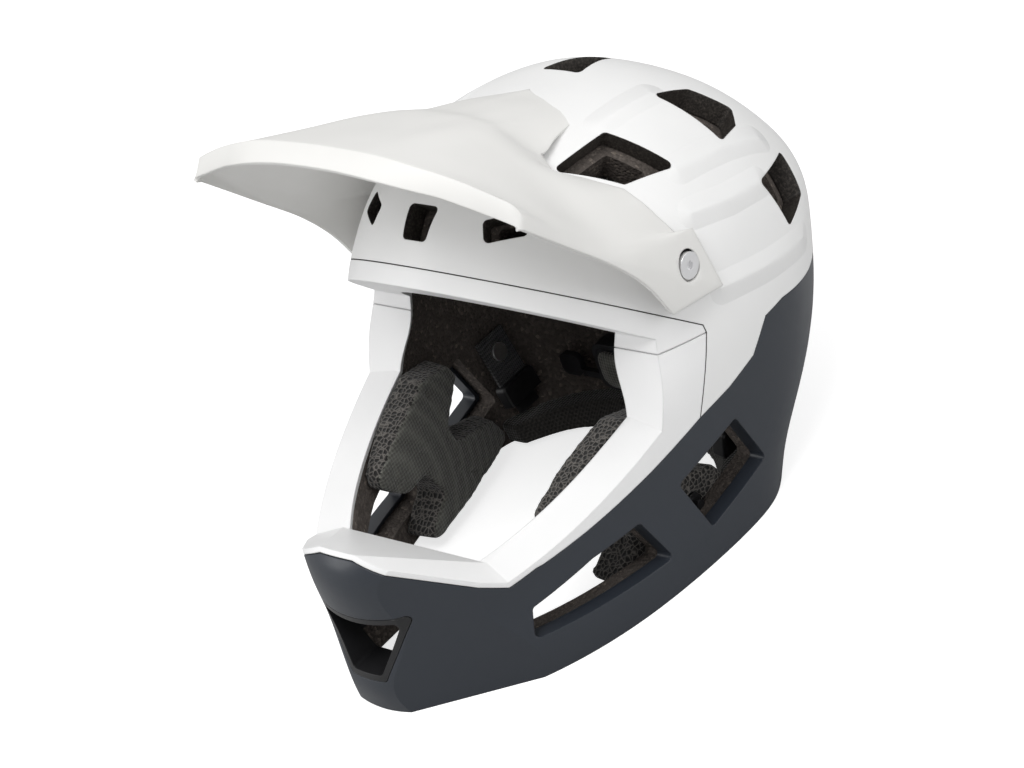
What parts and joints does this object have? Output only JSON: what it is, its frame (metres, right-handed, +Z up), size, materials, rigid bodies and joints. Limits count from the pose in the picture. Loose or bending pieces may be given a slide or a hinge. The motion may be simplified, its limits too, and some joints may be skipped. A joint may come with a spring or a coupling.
{
  "type": "downhill bike full face helmet",
  "caption": "Full face bike helmet with a tilting visor, vented two-part shell, foam liner, cheek pads and a dial-adjusted fit cradle.",
  "frame": {"origin": "centre of the helmet's bounding box, on the plane of its bottom rim", "axes": "+X to the wearer's left, +Y to the back of the head, +Z up"},
  "size_m": [0.2084, 0.3323, 0.2531],
  "materials": {
    "shell_white": "matte lacquer over fibre shell",
    "trim_white": "matte moulded trim",
    "shell_dark": "satin slate lacquer",
    "visor_grey": "matte moulded visor",
    "vent_black": "satin black moulding",
    "foam_dark": "bead foam",
    "pad_fabric": "dimpled knit over foam",
    "web_black": "woven webbing",
    "cradle_black": "fine grained moulding",
    "dial_black": "soft touch grip",
    "bolt_steel": "bright plated steel",
    "insert_brass": "plain brass",
    "washer_black": "friction rubber"
  },
  "bodies": {
    "helmet": {"upper_shell": "shell_white", "lower_shell": "shell_dark", "face_frame": "trim_white", "brow_strip": "trim_white", "chin_vent_insert": "vent_black", "crown_liner": "foam_dark", "jaw_liner": "foam_dark", "cheek_pad_left": "pad_fabric", "cheek_pad_right": "pad_fabric", "cheek_pad_studs": "vent_black", "brow_pad": "pad_fabric", "crown_pad_left": "pad_fabric", "crown_pad_right": "pad_fabric", "nape_pad": "pad_fabric", "visor_screws": "bolt_steel", "friction_washers": "washer_black", "visor_inserts": "insert_brass", "strap_left": "web_black", "strap_right": "web_black", "strap_anchors": "bolt_steel", "buckle_socket": "vent_black", "buckle_tongue": "vent_black", "cradle_rail": "cradle_black"},
    "visor": {"visor": "visor_grey"},
    "cradle": {"cradle_housing": "cradle_black", "cradle_cover": "cradle_black", "cradle_screws": "bolt_steel", "fit_pads": "pad_fabric"},
    "dial": {"dial_knob": "dial_black", "dial_pinion": "cradle_black"},
    "band_left": {"band_left": "cradle_black"},
    "band_right": {"band_right": "cradle_black"}
  },
  "joints": [
    {"name": "visor_tilt", "type": "hinge", "parent": "helmet", "child": "visor", "pos_m": [0, 0.017, 0.145], "axis": [1, 0, 0], "range_deg": [0, 12]},
    {"name": "cradle_height", "type": "slide", "parent": "helmet", "child": "cradle", "axis": [0, 0.7071, 0.7071], "range_m": [-0.006, 0.006]},
    {"name": "dial_turn", "type": "hinge", "parent": "cradle", "child": "dial", "pos_m": [0, 0.075, 0.036], "axis": [0, -1, 0], "range_deg": [0, 114.5]},
    {"name": "band_left_draw", "type": "slide", "parent": "cradle", "child": "band_left", "axis": [-1, 0, 0], "range_m": [0, 0.012]},
    {"name": "band_right_draw", "type": "slide", "parent": "cradle", "child": "band_right", "axis": [1, 0, 0], "range_m": [0, 0.012]}
  ],
  "couplings": [
    {"joint": "band_left_draw", "follows": "dial_turn", "m_per_rad": 0.006},
    {"joint": "band_right_draw", "follows": "dial_turn", "m_per_rad": 0.006}
  ]
}
